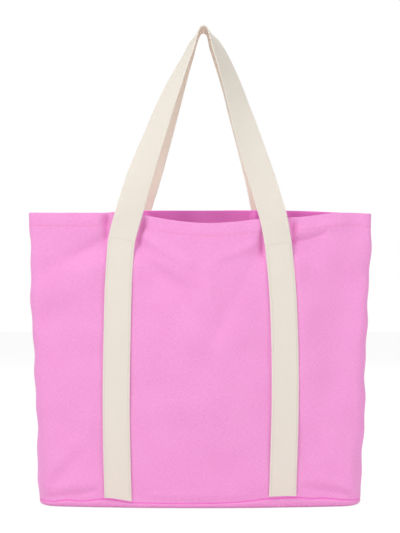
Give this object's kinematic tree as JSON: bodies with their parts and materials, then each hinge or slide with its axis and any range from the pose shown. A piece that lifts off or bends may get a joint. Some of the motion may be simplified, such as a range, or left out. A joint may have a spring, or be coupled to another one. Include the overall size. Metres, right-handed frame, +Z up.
{
  "type": "beach bag",
  "caption": "Soft open-topped canvas tote with a sewn-in base and a tall webbing loop as the handle of each face.",
  "frame": {"origin": "on the floor under the middle of the base", "axes": "+Z up, -Y out of the front panel, +X to the right of somebody looking at the front"},
  "size_m": [0.4874, 0.104, 0.6759],
  "materials": {
    "canvas": "matt pink cotton canvas",
    "webbing": "matt cream cotton webbing",
    "cream_thread": "cream thread",
    "pink_thread": "pink thread",
    "overlock_thread": "pink overlock"
  },
  "bodies": {
    "bag": {"front_panel": "canvas", "back_panel": "canvas", "base_panel": "canvas", "front_left_strap": "webbing", "front_right_strap": "webbing", "back_left_strap": "webbing", "back_right_strap": "webbing", "front_left_strap_thread": "cream_thread", "front_right_strap_thread": "cream_thread", "back_left_strap_thread": "cream_thread", "back_right_strap_thread": "cream_thread", "front_hem_thread": "pink_thread", "back_hem_thread": "pink_thread", "left_side_thread": "pink_thread", "right_side_thread": "pink_thread", "base_thread": "pink_thread", "left_side_overlock": "overlock_thread", "right_side_overlock": "overlock_thread", "base_overlock": "overlock_thread"},
    "front_handle": {"front_handle": "webbing"},
    "back_handle": {"back_handle": "webbing"}
  },
  "joints": [
    {"name": "front_handle_swing", "type": "hinge", "parent": "bag", "child": "front_handle", "pos_m": [0, -0.0311, 0.379], "axis": [1, 0, 0], "range_deg": [0, 165]},
    {"name": "back_handle_swing", "type": "hinge", "parent": "bag", "child": "back_handle", "pos_m": [0, 0.0323, 0.379], "axis": [-1, 0, 0], "range_deg": [0, 165]}
  ]
}
